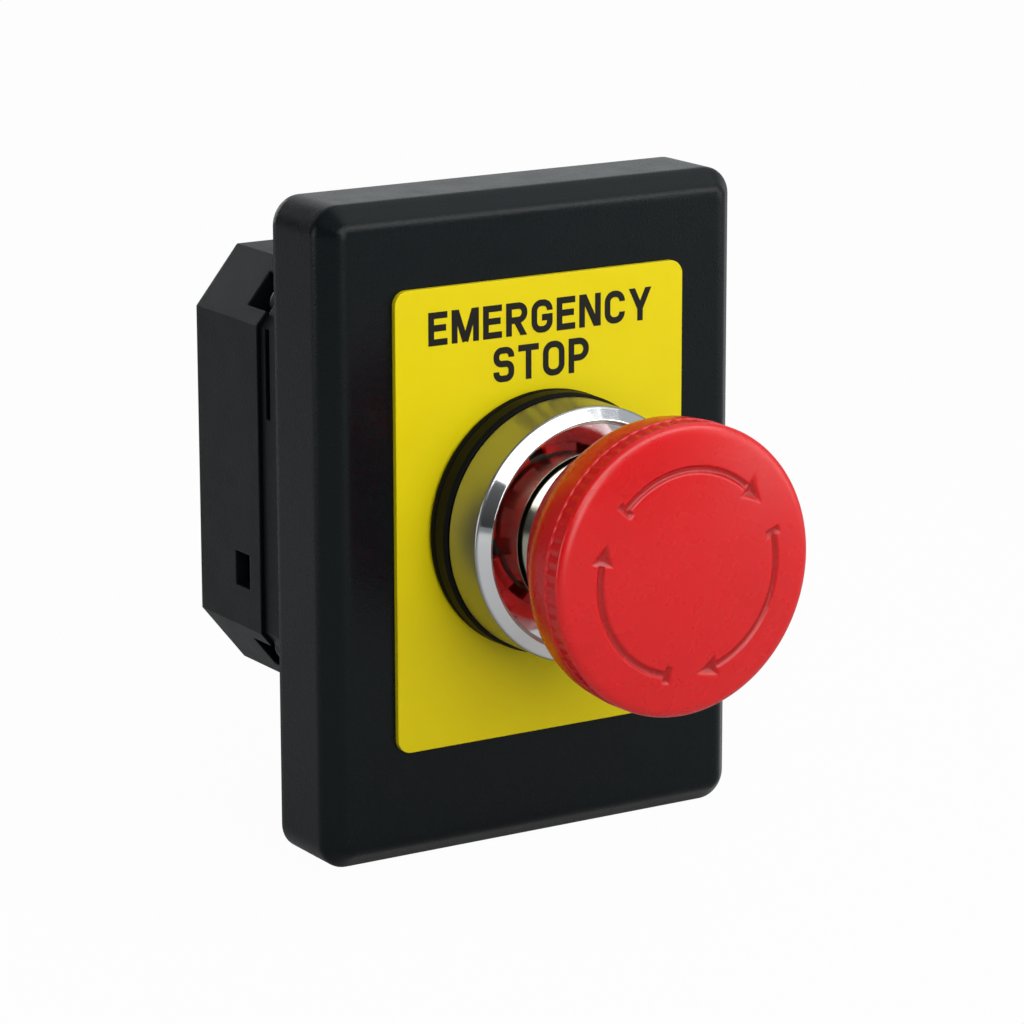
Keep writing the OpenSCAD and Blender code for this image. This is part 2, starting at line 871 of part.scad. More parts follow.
// Frame: chamfered sleeve with screw lugs, side slots, an aligning lip and two snap arms
module base_frame() {
    arm_x = half_w - housing_wall - clear;
    arm_t = 1.7;
    arm_l = 14;
    arm_up = window_up + window_h / 2;
    arm_w = window_h + 1.6;
    tooth_w = window_h - 1;
    tooth_d = 1.1;
    tooth_l = 3;
    slot_edge = 1.3;
    slot_w = 1.3;
    color([0.14, 0.15, 0.16])
    facing()
        difference() {
            union() {
                translate([0, 0, -frame_d])
                    linear_extrude(frame_d)
                        difference() {
                            housing_outline(frame_inset);
                            difference() {
                                housing_outline(frame_inset + frame_wall);
                                at_lugs()
                                    circle(lug_r);
                            }
                        }
                translate([0, 0, -frame_d + eps])
                    linear_extrude(frame_d + frame_tongue - eps)
                        difference() {
                            housing_outline(frame_inset + 0.2);
                            housing_outline(frame_inset + frame_wall);
                        }
                at_lugs()
                    bore(lug_r, -eps, frame_tongue + eps);
                frame_lip();
                for (x = [-1, 1])
                    scale_mirror(x, 1) {
                        translate([arm_x - arm_t, arm_up - arm_w / 2, -frame_d + window_z - 0.8])
                            cube([arm_t, arm_w, arm_l - window_z]);
                        translate([arm_x, arm_up - tooth_w / 2, -frame_d + window_z + 0.5])
                            rotate([90, 0, 0])
                                mirror([0, 0, 1])
                                    linear_extrude(tooth_w)
                                        polygon([
                                            [-eps, 0], [tooth_d, 0.8 * tooth_l],
                                            [tooth_d, tooth_l], [-eps, tooth_l]]);
                    }
            }
            at_lugs()
                bore(screw_r + 0.15, -frame_d - 1, frame_d + frame_tongue + 2);
            for (x = [-1, 1])
                scale_mirror(x, 1)
                    translate([half_w - frame_inset - frame_wall - 1, slot_up, -frame_d + slot_edge])
                        cube([frame_wall + 2, slot_h, slot_w]);
        }
}

// Room for a screw head at the rear of the frame, open through the corner chamfer
module lug_pocket(r, depth) {
    translate([0, 0, -frame_d - depth]) {
        cylinder(r = r, h = depth);
        rotate([0, 0, lug_turn])
            translate([0, -r, 0])
                cube([housing_wall + 3 * r, 2 * r, depth]);
    }
}

// Thin lip inside the mouth of the rear housing, left out round its corner pockets
module frame_lip() {
    lip_in = housing_wall + clear;
    lip_reach = 1.6;
    lip_root = 1.4;
    room = pocket + pocket_wall + 0.5;
    difference() {
        translate([0, 0, -frame_d - lip_reach])
            linear_extrude(lip_reach + lip_root)
                difference() {
                    housing_outline(lip_in);
                    housing_outline(frame_inset + frame_wall + 0.6);
                }
        at_lugs()
            translate([-room, -room, -frame_d - 2])
                cube([4 * room, 4 * room, 2 + eps]);
    }
}

module frame_screws() {
    head_t = 2;
    color([0.16, 0.16, 0.17])
    facing()
        at_lugs()
            translate([0, 0, -frame_d])
                mirror([0, 0, 1])
                    pan_screw(screw_r, frame_d + frame_tongue + screw_bite, screw_head_r, head_t);
}

// Rear housing: a chamfered cup with corner pockets, snap windows and a cable hole
module rear_housing() {
    depth = housing_d - frame_d;
    color([0.12, 0.13, 0.14])
    facing()
        difference() {
            union() {
                difference() {
                    housing_block();
                    translate([0, 0, -housing_d + housing_floor_t])
                        linear_extrude(depth)
                            housing_outline(housing_wall);
                }
                intersection() {
                    housing_block();
                    at_lugs()
                        lug_pocket(pocket + pocket_wall, pocket_d + pocket_wall);
                }
            }
            at_lugs()
                translate([0, 0, eps])
                    lug_pocket(pocket, pocket_d + eps);
            for (x = [-1, 1])
                scale_mirror(x, 1)
                    translate([half_w - housing_wall - 1, window_up, -frame_d + window_z])
                        cube([housing_wall + 2, window_h, window_d]);
            translate([0, housing_rise - housing_h / 2 - 1, cable_z])
                rotate([-90, 0, 0])
                    cylinder(r = cable_r, h = housing_wall + 2);
        }
}

// Outside form of the rear housing, with the edge round its rear face taken off
module housing_block() {
    edge = 0.8;
    steps = [0.75 * edge, 0.25 * edge];
    union() {
        translate([0, 0, -housing_d + edge])
            linear_extrude(housing_d - frame_d - edge)
                housing_outline(0);
        for (i = [0:1])
            translate([0, 0, -housing_d + edge * i / 2])
                linear_extrude(edge * (2 - i) / 2 + eps)
                    housing_outline(steps[i]);
    }
}

// Contact block: a cored body with a slider hole, a bridge chamber and two terminal pockets
module contact_block() {
    chamber_w = 9.2;
    chamber_h = 2 * (contact_up + 2 * button_r);
    chamber_roof = 1.5;
    pocket_in = chamber_h / 2 + 1.2;
    clamp_room_w = 8;
    clamp_room_d = 9.5;
    driver_r = 3;
    translate([block_x, 0, 0])
        difference() {
            translate([-block_w / 2, -block_h / 2, block_rear])
                cube([block_w, block_h, block_d]);
            translate([-slider_w / 2 - guide_gap, -slider_w / 2 - guide_gap, block_top - 2 * chamber_roof])
                cube([slider_w + 2 * guide_gap, slider_w + 2 * guide_gap, 3 * chamber_roof]);
            translate([-chamber_w / 2, -chamber_h / 2, block_floor])
                cube([chamber_w, chamber_h, block_top - chamber_roof - block_floor]);
            for (y = [-1, 1])
                scale_mirror(1, y) {
                    translate([-block_w / 2 - 1, block_h / 2 - catch_d + clear, catch_z - snug])
                        cube([block_w + 2, catch_d, catch_w]);
                    translate([-clamp_room_w / 2, pocket_in, strip_top - clamp_room_d])
                        cube([clamp_room_w, block_h / 2, clamp_room_d]);
                    translate([-strip_w / 2 - guide_gap, chamber_h / 2 - 1, strip_top - strip_t - guide_gap])
                        cube([strip_w + 2 * guide_gap, 3, strip_t + guide_gap]);
                    translate([0, terminal_up, block_rear - 1])
                        cylinder(r = driver_r, h = 8);
                    translate([0, terminal_up, strip_top - 1])
                        cylinder(r = terminal_hole_r, h = 2);
                }
        }
}

module contact_block_left() {
    color([0.55, 0.08, 0.08])
    facing()
        mirror([1, 0, 0])
            contact_block();
}

module contact_block_right() {
    color([0.55, 0.08, 0.08])
    facing()
        contact_block();
}

// Two fixed strips of one block, each with a contact button and a screw hole
module fixed_contacts() {
    strip_in = slider_w / 2 + 2.2;
    strip_out = block_h / 2 - 1.2;
    for (y = [-1, 1])
        scale_mirror(1, y)
            translate([block_x, 0, 0])
                difference() {
                    union() {
                        translate([-strip_w / 2, strip_in, strip_top - strip_t])
                            cube([strip_w, strip_out - strip_in, strip_t]);
                        translate([0, contact_up, strip_top - strip_t - button_t])
                            cylinder(r = button_r, h = button_t + eps);
                    }
                    translate([0, terminal_up, strip_top - strip_t - 1])
                        cylinder(r = terminal_hole_r, h = strip_t + 2);
                }
}

module fixed_contacts_left() {
    color([0.80, 0.62, 0.30])
    facing()
        mirror([1, 0, 0])
            fixed_contacts();
}

module fixed_contacts_right() {
    color([0.80, 0.62, 0.30])
    facing()
        fixed_contacts();
}

// Places its children at the four terminals
module at_terminals() {
    for (x = [-1, 1], y = [-1, 1])
        translate([x * block_x, y * terminal_up, 0])
            scale_mirror(1, y)
                children();
}

// Square wire clamps with a turned-up edge
module terminal_clamps() {
    plate_w = 6.8;
    plate_h = 5.6;
    plate_low = -2.6;
    edge_t = 0.8;
    edge_h = 1.6;
    color([0.75, 0.76, 0.77])
    facing()
        at_terminals()
            difference() {
                union() {
                    translate([-plate_w / 2, plate_low, clamp_top - clamp_t])
                        cube([plate_w, plate_h, clamp_t]);
                    translate([-plate_w / 2, plate_low, clamp_top - eps])
                        cube([plate_w, edge_t, edge_h]);
                }
                translate([0, 0, clamp_top - clamp_t - 1])
                    cylinder(r = terminal_hole_r, h = clamp_t + edge_h + 2);
            }
}

module terminal_screws() {
    shank_l = 5.2;
    head_t = 1.8;
    color([0.75, 0.76, 0.77])
    facing()
        at_terminals()
            translate([0, 0, clamp_top - clamp_t])
                mirror([0, 0, 1])
                    pan_screw(screw_r, shank_l, screw_head_r, head_t);
}

// Slider: a square rod whose pin runs through the bridge into its spring
module contact_slider() {
    translate([block_x, 0, 0]) {
        translate([-slider_w / 2, -slider_w / 2, bridge_top])
            cube([slider_w, slider_w, slider_top - bridge_top]);
        translate([0, 0, bridge_top - pin_l])
            cylinder(r = pin_r, h = pin_l + eps);
    }
}

// Bridge: a plate with a button at each end
module contact_bridge() {
    bridge_w = 4.2;
    bridge_h = 2 * contact_up + 3.6;
    translate([block_x, 0, 0])
        difference() {
            union() {
                translate([-bridge_w / 2, -bridge_h / 2, bridge_top - bridge_t])
                    cube([bridge_w, bridge_h, bridge_t]);
                for (y = [-1, 1])
                    translate([0, y * contact_up, bridge_top - eps])
                        cylinder(r = button_r, h = button_t + eps);
            }
            translate([0, 0, bridge_top - bridge_t - 1])
                cylinder(r = pin_r + snug, h = bridge_t + 2);
        }
}

module contact_spring() {
    mean_r = 1.7;
    wire_r = 0.25;
    turns = 6;
    length = bridge_top - bridge_t - block_floor - 2 * snug;
    translate([block_x, 0, 0])
        coil(mean_r, wire_r, block_floor + snug, length, turns, 12, 5);
}

module contact_slider_left() {
    color([0.85, 0.85, 0.80])
    facing()
        mirror([1, 0, 0])
            contact_slider();
}

module contact_slider_right() {
    color([0.85, 0.85, 0.80])
    facing()
        contact_slider();
}

module contact_bridge_left() {
    color([0.80, 0.62, 0.30])
    facing()
        mirror([1, 0, 0])
            contact_bridge();
}

module contact_bridge_right() {
    color([0.80, 0.62, 0.30])
    facing()
        contact_bridge();
}

module contact_spring_left() {
    color([0.62, 0.64, 0.66])
    facing()
        mirror([1, 0, 0])
            contact_spring();
}

module contact_spring_right() {
    color([0.62, 0.64, 0.66])
    facing()
        contact_spring();
}

front_cover();
panel_seal();
fixing_inserts();
legend_plate();
sealing_washer();
trim_ring();
bezel_ring();
barrel();
lock_washer();
mounting_nut();
neck_wiper();
latch_ring();
return_spring();
contact_carrier();
base_frame();
frame_screws();
rear_housing();
contact_block_left();
contact_block_right();
fixed_contacts_left();
fixed_contacts_right();
terminal_clamps();
terminal_screws();
plunger();
actuator_bar();
plunger_screw();
mushroom_head();
head_hub();
head_screw();
neck();
release_spring();
contact_slider_left();
contact_bridge_left();
contact_spring_left();
contact_slider_right();
contact_bridge_right();
contact_spring_right();
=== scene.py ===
"""Looks of the emergency stop pushbutton station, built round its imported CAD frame."""

import json
import math

import bpy
from mathutils import Matrix, Vector
from mathutils.geometry import delaunay_2d_cdt

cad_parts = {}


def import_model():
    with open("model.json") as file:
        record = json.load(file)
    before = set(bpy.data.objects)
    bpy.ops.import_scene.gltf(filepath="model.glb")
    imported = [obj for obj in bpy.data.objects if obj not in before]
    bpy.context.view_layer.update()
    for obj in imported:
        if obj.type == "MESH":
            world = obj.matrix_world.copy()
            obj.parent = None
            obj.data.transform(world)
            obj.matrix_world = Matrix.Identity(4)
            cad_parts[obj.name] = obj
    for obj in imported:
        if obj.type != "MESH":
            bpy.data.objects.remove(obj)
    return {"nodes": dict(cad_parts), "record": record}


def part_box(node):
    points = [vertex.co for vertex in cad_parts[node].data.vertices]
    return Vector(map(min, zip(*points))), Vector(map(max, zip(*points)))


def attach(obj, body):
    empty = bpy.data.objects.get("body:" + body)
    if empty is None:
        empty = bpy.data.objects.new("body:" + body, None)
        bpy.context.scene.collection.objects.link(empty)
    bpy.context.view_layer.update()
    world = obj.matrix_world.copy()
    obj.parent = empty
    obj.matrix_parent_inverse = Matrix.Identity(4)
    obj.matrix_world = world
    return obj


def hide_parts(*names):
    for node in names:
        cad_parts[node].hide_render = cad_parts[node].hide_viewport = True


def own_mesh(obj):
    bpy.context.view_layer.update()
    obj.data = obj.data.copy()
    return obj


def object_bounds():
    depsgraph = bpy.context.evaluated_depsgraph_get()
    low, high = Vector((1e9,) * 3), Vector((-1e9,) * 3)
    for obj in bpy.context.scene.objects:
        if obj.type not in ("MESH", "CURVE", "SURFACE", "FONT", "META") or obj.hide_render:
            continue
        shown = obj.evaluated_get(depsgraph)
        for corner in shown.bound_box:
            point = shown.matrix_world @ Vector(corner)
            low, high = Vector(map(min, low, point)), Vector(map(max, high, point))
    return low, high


MM = 0.001
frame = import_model()
cad_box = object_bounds()
nodes = frame["nodes"]


# Node material helpers
def math_node(tree, operation, first, second):
    """The result of a Math node; each input is a number or a socket."""
    made = tree.nodes.new("ShaderNodeMath")
    made.operation = operation
    for socket, value in zip(made.inputs, (first, second)):
        if isinstance(value, (int, float)):
            socket.default_value = value
        else:
            tree.links.new(value, socket)
    return made.outputs[0]


class Finish:
    """A procedural material: the graph's nodes are made and joined by short calls."""

    def __init__(self, name):
        self.material = bpy.data.materials.new(name)
        self.material.use_nodes = True
        self.tree = self.material.node_tree
        self.shader = self.tree.nodes["Principled BSDF"]
        self.place = self.node("ShaderNodeTexCoord").outputs["Object"]

    def node(self, kind, **settings):
        made = self.tree.nodes.new(kind)
        for key, value in settings.items():
            setattr(made, key, value)
        return made

    def link(self, source, target):
        self.tree.links.new(source, target)

    def noise(self, size, detail=3.0, stretch=None):
        """Noise whose features are about size metres; stretch scales its axes."""
        made = self.node("ShaderNodeTexNoise")
        made.inputs["Scale"].default_value = 1.0 / size
        made.inputs["Detail"].default_value = detail
        source = self.place
        if stretch:
            mapping = self.node("ShaderNodeMapping")
            mapping.inputs["Scale"].default_value = stretch
            self.link(source, mapping.inputs["Vector"])
            source = mapping.outputs["Vector"]
        self.link(source, made.inputs["Vector"])
        return made.outputs["Fac"]

    def spread(self, value, low, high, from_low=0.2, from_high=0.8):
        """value taken from its own range to the range low to high."""
        made = self.node("ShaderNodeMapRange")
        made.inputs["From Min"].default_value = from_low
        made.inputs["From Max"].default_value = from_high
        made.inputs["To Min"].default_value = low
        made.inputs["To Max"].default_value = high
        self.link(value, made.inputs["Value"])
        return made.outputs["Result"]

    def blend(self, share, first, second):
        """A colour between first and second; each is a colour or a socket."""
        made = self.node("ShaderNodeMix", data_type="RGBA")
        self.link(share, made.inputs["Factor"])
        for value, socket in ((first, made.inputs["A"]), (second, made.inputs["B"])):
            if isinstance(value, tuple):
                socket.default_value = (*value, 1.0)
            else:
                self.link(value, socket)
        return made.outputs["Result"]

    def rounded(self, radius):
        """The normal with every edge rounded to that radius."""
        bevel = self.node("ShaderNodeBevel", samples=6)
        bevel.inputs["Radius"].default_value = radius
        return bevel.outputs["Normal"]

    def edge_share(self, normal):
        """1 on an edge and 0 on a flat, from how far the rounded normal leans."""
        lean = self.node("ShaderNodeVectorMath", operation="DOT_PRODUCT")
        self.link(normal, lean.inputs[0])
        self.link(self.node("ShaderNodeNewGeometry").outputs["Normal"], lean.inputs[1])
        return self.spread(lean.outputs["Value"], 1.0, 0.0, 0.86, 0.995)

    def radius(self):
        """Distance from the push axis."""
        flat = self.node("ShaderNodeVectorMath", operation="MULTIPLY")
        flat.inputs[1].default_value = (1, 0, 1)
        self.link(self.place, flat.inputs[0])
        length = self.node("ShaderNodeVectorMath", operation="LENGTH")
        self.link(flat.outputs["Vector"], length.inputs[0])
        return length.outputs["Value"]

    def bump(self, height, distance, normal):
        made = self.node("ShaderNodeBump")
        made.inputs["Distance"].default_value = distance
        self.link(height, made.inputs["Height"])
        self.link(normal, made.inputs["Normal"])
        return made.outputs["Normal"]

    def set(self, key, value):
        """Gives a socket of the shader a number, a colour or another socket's value."""
        socket = self.shader.inputs[key]
        if isinstance(value, (int, float)):
            socket.default_value = value
        elif isinstance(value, tuple):
            socket.default_value = (*value, 1.0)
        else:
            self.link(value, socket)


looks = {}


def plastic(name, colour, tint, rough, grain, depth, edge=0.0003, specular=0.5, wear=0.0,
            glow=None, painted_groove_shade=None):
    """Moulded plastic or rubber: a fine spark-eroded grain, faint clouds of tint, soft edges.
    glow is how much light goes through it, and how far its red, green and blue reach.
    painted_groove_shade is a darker colour painted where the mesh's attribute cut is 1, as painted shade
    in the grooves."""
    cloud_size, sheen_size, scuff_size = 0.012, 0.004, 0.0022
    finish = Finish(name)
    body = finish.blend(finish.spread(finish.noise(cloud_size, 4.0), 0.0, 1.0), colour, tint)
    rounded = finish.rounded(edge)
    if wear:
        rubbed = tuple(min(1.0, part * 2.2 + 0.01) for part in colour)
        scuffs = finish.spread(finish.noise(scuff_size, 4.0), 0.0, wear, 0.45, 0.62)
        worn = math_node(finish.tree, "MULTIPLY", finish.edge_share(rounded), scuffs)
        body = finish.blend(worn, body, rubbed)
    if painted_groove_shade:
        # Painted shade: the grooves are darkened in the colour itself where the attribute cut marks them.
        cut = finish.node("ShaderNodeAttribute", attribute_name="cut")
        body = finish.blend(cut.outputs["Fac"], body, painted_groove_shade)
    finish.set("Base Color", body)
    finish.set("Roughness", finish.spread(finish.noise(sheen_size), rough - 0.04, rough + 0.04))
    finish.set("Specular IOR Level", specular)
    if glow:
        through, reach = glow
        finish.set("Subsurface Weight", through)
        finish.set("Subsurface Scale", 1.0)
        finish.shader.inputs["Subsurface Radius"].default_value = reach
    finish.set("Normal", finish.bump(finish.noise(grain, 2.0), depth, rounded))
    looks[name] = finish.material


def metal(name, colour, tint, rough, depth=0.000004, stretch=(1.0, 1.0, 1.0), satin_and_painted_shade=None):
    """Plated, turned or drawn metal: fine tool marks across the stretch, uneven sheen.
    satin_and_painted_shade is the radius outside which it is left satin, how rough it is there, and a
    darker colour there that is a painted reflection of shade."""
    cloud_size, sheen_size, mark_size, edge = 0.006, 0.003, 0.0004, 0.0001
    finish = Finish(name)
    body = finish.blend(finish.spread(finish.noise(cloud_size, 4.0), 0.0, 1.0), colour, tint)
    sheen = finish.spread(finish.noise(sheen_size, 4.0), rough * 0.7, rough * 1.3)
    if satin_and_painted_shade:
        satin_r, satin_rough, painted_shade_colour = satin_and_painted_shade
        ramp = 0.0003
        outer = finish.spread(finish.radius(), 0.0, 1.0, satin_r - ramp, satin_r)
        # Outside that radius the colour is darkened: a painted reflection of shade, not the metal's own
        # colour.
        body = finish.blend(outer, body, painted_shade_colour)
        added = finish.spread(outer, 0.0, satin_rough, 0.0, 1.0)
        sheen = math_node(finish.tree, "ADD", sheen, added)
    finish.set("Metallic", 1.0)
    finish.set("Base Color", body)
    finish.set("Roughness", sheen)
    marks = finish.noise(mark_size, 3.0, stretch)
    finish.set("Normal", finish.bump(marks, depth, finish.rounded(edge)))
    looks[name] = finish.material


# Materials of the record's slots
turned = (1.0, 14.0, 1.0)
bezel_wall_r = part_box("bezel_ring")[1].x - 0.00008
plastic("cover_black", (0.0018, 0.0040, 0.0050), (0.0028, 0.0054, 0.0066), rough=0.27,
        grain=0.00035, depth=0.000035, edge=0.0012, specular=0.20, wear=0.25)
plastic("housing_black", (0.0026, 0.0050, 0.0056), (0.0042, 0.0072, 0.0080), rough=0.44,
        grain=0.0003, depth=0.00005, edge=0.0004, specular=0.24, wear=0.3)
plastic("seal_rubber", (0.0028, 0.0030, 0.0027), (0.0042, 0.0044, 0.0040), rough=0.62,
        grain=0.0005, depth=0.00002, specular=0.08)
plastic("trim_black", (0.0020, 0.0023, 0.0018), (0.0032, 0.0035, 0.0028), rough=0.48,
        grain=0.0004, depth=0.000012, specular=0.08)
plastic("legend_yellow", (0.78, 0.645, 0.0045), (0.745, 0.61, 0.0040), rough=0.40,
        grain=0.0006, depth=0.000006, edge=0.0002, specular=0.16)
plastic("legend_ink", (0.0070, 0.0072, 0.0050), (0.011, 0.011, 0.008), rough=0.42,
        grain=0.0004, depth=0.000004, edge=0.00005, specular=0.2)
# The head's arrow grooves get a darker red, which is painted shade.
plastic("head_red", (0.67, 0.0030, 0.0050), (0.63, 0.0025, 0.0040), rough=0.28,
        grain=0.0005, depth=0.000004, edge=0.0002,
        glow=(0.4, (0.008, 0.0006, 0.0006)), painted_groove_shade=(0.42, 0.0010, 0.0018))
plastic("hub_plastic", (0.11, 0.115, 0.12), (0.13, 0.135, 0.14), rough=0.48,
        grain=0.0003, depth=0.00002)
plastic("plunger_plastic", (0.74, 0.73, 0.68), (0.70, 0.69, 0.63), rough=0.45,
        grain=0.0004, depth=0.00001)
plastic("carrier_plastic", (0.050, 0.053, 0.056), (0.060, 0.063, 0.067), rough=0.50,
        grain=0.0003, depth=0.00002)
plastic("block_red", (0.36, 0.018, 0.016), (0.31, 0.014, 0.013), rough=0.42,
        grain=0.0003, depth=0.000015)
# The bezel's wall gets a dark grey colour as a painted reflection of the shaded plate around it; its
# satin roughness is real.
metal("bezel_chrome", (0.84, 0.85, 0.86), (0.80, 0.81, 0.83), rough=0.06, depth=0.000001,
      stretch=turned, satin_and_painted_shade=(bezel_wall_r, 0.26, (0.36, 0.37, 0.36)))
# The neck is polished metal; its yellow-olive colour is a painted reflection of the yellow plate, not the
# metal's own colour.
metal("neck_metal", (0.52, 0.52, 0.40), (0.46, 0.46, 0.36), rough=0.19, depth=0.000002,
      stretch=turned)
metal("barrel_metal", (0.66, 0.67, 0.68), (0.58, 0.59, 0.60), rough=0.30, stretch=turned)
metal("nut_metal", (0.60, 0.61, 0.63), (0.52, 0.53, 0.56), rough=0.34)
metal("spring_steel", (0.58, 0.59, 0.61), (0.50, 0.51, 0.53), rough=0.24)
metal("screw_steel", (0.62, 0.63, 0.64), (0.52, 0.53, 0.55), rough=0.30)
metal("screw_black", (0.035, 0.036, 0.038), (0.05, 0.05, 0.054), rough=0.42)
metal("insert_brass", (0.70, 0.50, 0.20), (0.62, 0.42, 0.16), rough=0.26, stretch=turned)
metal("contact_brass", (0.78, 0.58, 0.27), (0.70, 0.50, 0.22), rough=0.24)

slot_of = {row["node"]: row["material_slot"] for row in frame["record"]["subparts"]}
for name, piece in nodes.items():
    for holder in piece.material_slots:
        holder.material = looks[slot_of[name]]


# Mesh helpers
def add_mesh(name, vertices, faces, material, body, smooth=True):
    """A piece in millimetres, with x right, z up and w out of the panel, laid into the frame."""
    mesh = bpy.data.meshes.new(name)
    mesh.from_pydata([(x * MM, -w * MM, z * MM) for x, z, w in vertices], [], faces)
    mesh.validate()
    if smooth:
        mesh.shade_smooth()
    mesh.materials.append(material)
    piece = bpy.data.objects.new(name, mesh)
    bpy.context.scene.collection.objects.link(piece)
    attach(piece, body)
    return piece


def arc_corner(a, b, c, radius, count):
    """Points round the corner b of the line a, b, c."""
    a, b, c = Vector(a), Vector(b), Vector(c)
    u, v = (a - b).normalized(), (c - b).normalized()
    half = u.angle(v) / 2
    start, end = b + u * radius / math.tan(half), b + v * radius / math.tan(half)
    middle = b + (u + v).normalized() * radius / math.sin(half)
    out = []
    for i in range(count + 1):
        p = start.lerp(end, i / count)
        out.append(tuple(middle + (p - middle).normalized() * radius))
    return out


def between(value, low, high):
    """How far value lies from low to high, from 0 to 1."""
    return max(0.0, min(1.0, (value - low) / (high - low)))


def soft(share):
    """The share with a gentle start and end."""
    return share * share * (3 - 2 * share)


# Mushroom head: its outline, in millimetres from the axis and out of the panel
low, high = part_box("mushroom_head")
head_top, head_z, head_r = -low.y / MM, -high.y / MM, high.x / MM
neck_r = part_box("neck")[1].x / MM
hub_top = -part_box("head_hub")[0].y / MM
head_rear_r = neck_r + 4
head_wall = 2.4
flare_h = 0.465 * (head_top - head_z)
flare_round = 6
knurl_z = head_top - 4.8
knurl_h = 2.2
teeth = 72
tooth_depth, band_drop = 0.18, 0.32
rim_in = 0.1
rim_w, rim_h = 2.1, 1.1
rim_end = math.radians(75)
steps = 720


def rim_point(a):
    """Point of the rounded rim in front of the knurl, at angle a of its quarter round."""
    return (head_r - rim_in - rim_w * (1 - math.cos(a)), knurl_z + knurl_h + rim_in + rim_h * math.sin(a))


face_edge = rim_point(rim_end)
face_rise = head_top - face_edge[1]
face_ball = (face_edge[0] ** 2 + face_rise ** 2) / (2 * face_rise)


def face_height(r):
    """Height of the domed face, a cap of a large ball."""
    return head_top - face_ball + math.sqrt(face_ball ** 2 - r * r)


# Three turning arrows, each with a cross tick at its start and a tip at its end
arrow_r = 13.9
arrow_every, arrow_span, arrow_start = 120, 100, 256
arrow_line = 0.42
arrow_depth = 0.40
arrow_ramp = 0.24
arrow_tip_l, arrow_tip_w = 3.1, 1.5
arrow_tick = 1.1
tip_slope = 0.7


def arrow_cut(r, a):
    """Depth of the arrows at radius r and angle a, in degrees anticlockwise."""
    off = r - arrow_r
    if abs(off) > arrow_tip_w + 1:
        return 0.0
    along = math.radians((arrow_start - a) % arrow_every) * arrow_r
    length = math.radians(arrow_span) * arrow_r
    base = length - arrow_tip_l
    if along > length + 2:
        along -= math.radians(arrow_every) * arrow_r
    shaft = max(abs(off) - arrow_line, -along, along - base)
    tick = max(abs(off) - arrow_tick, abs(along) - arrow_line)
    tip_w = arrow_tip_w * (length - along) / arrow_tip_l
    tip = max(base - along, (abs(off) - tip_w) * 0.9)
    near = min(shaft, tick, tip)
    wall = soft(between(-near, -arrow_ramp, arrow_ramp))
    if near == tip:
        return arrow_depth * (0.4 * wall + 0.9 * between(-near, 0, tip_slope))
    return arrow_depth * wall


def head_outline():
    """Rows of the head's skin from the rear rim over the face: radius, height and kind."""
    rear_edge = 0.3
    flare_end = (head_r - 0.4, head_z + flare_h)
    band_r = head_r - band_drop
    knurl_top = knurl_z + knurl_h
    rows = [(head_rear_r - rear_edge, head_z, "plain"), (head_rear_r, head_z + rear_edge, "plain")]
    flare = arc_corner((head_rear_r, head_z), flare_end, (head_r, knurl_z), flare_round, 10)
    first, parts = Vector(rows[-1][:2]), 6
    for i in range(1, parts):
        p = first.lerp(Vector(flare[0]), i / parts)
        rows.append((p.x, p.y, "plain"))
    rows += [(r, w, "plain") for r, w in flare]
    rows += [(head_r - 0.05, knurl_z - step, "plain") for step in (0.35, 0.12)]
    rows += [(band_r, knurl_z + knurl_h * i / 6, "knurl") for i in range(6)]
    rows += [(band_r, knurl_top, "knurl"), (head_r - rim_in, knurl_top + 0.05, "plain")]
    rows += [(*rim_point(rim_end * i / 12), "plain") for i in range(13)]
    fine, coarse = 0.14, 0.6
    r = face_edge[0]
    while r > 0.7:
        r -= fine if abs(r - arrow_r) < arrow_tip_w + 0.5 else coarse
        rows.append((r, face_height(r), "face"))
    return rows


# Inside of the head
inner_r = head_rear_r - head_wall
wide_r = head_r - head_wall - 0.6
inner_top = hub_top + 0.3
hub_r = neck_r + 0.35
ribs = 9


def head_skin(vertices, faces):
    """The closed skin, inside and outside, and how deep the arrows are cut at its vertices."""
    inner = [(inner_r, head_z), (inner_r + 0.4, head_z + 0.5), (wide_r, head_z + flare_h - 0.5),
             (wide_r, inner_top - 1.5), (wide_r - 0.5, inner_top - 0.4),
             (wide_r - 1.5, inner_top), (neck_r * 0.5, inner_top)]
    rows = [(r, w, "plain") for r, w in reversed(inner)] + head_outline()
    cuts = {}
    for row_r, row_w, kind in rows:
        for i in range(steps):
            r, w, a = row_r, row_w, 360 * i / steps
            if kind == "knurl":
                r += tooth_depth * abs(2 * ((a * teeth / 360) % 1.0) - 1.0)
            elif kind == "face":
                cut = arrow_cut(r, a)
                cuts[len(vertices)] = min(1.0, cut / arrow_depth)
                w -= cut
            vertices.append((r * math.cos(math.radians(a)), r * math.sin(math.radians(a)), w))
    last = (len(rows) - 1) * steps
    for j in range(0, last, steps):
        for i in range(steps):
            k = (i + 1) % steps
            faces.append((j + i, j + k, j + steps + k, j + steps + i))
    vertices += [(0, 0, head_top), (0, 0, inner_top)]
    outer_middle, inner_middle = len(vertices) - 2, len(vertices) - 1
    for i in range(steps):
        k = (i + 1) % steps
        faces.append((last + i, last + k, outer_middle))
        faces.append((k, i, inner_middle))
    return cuts


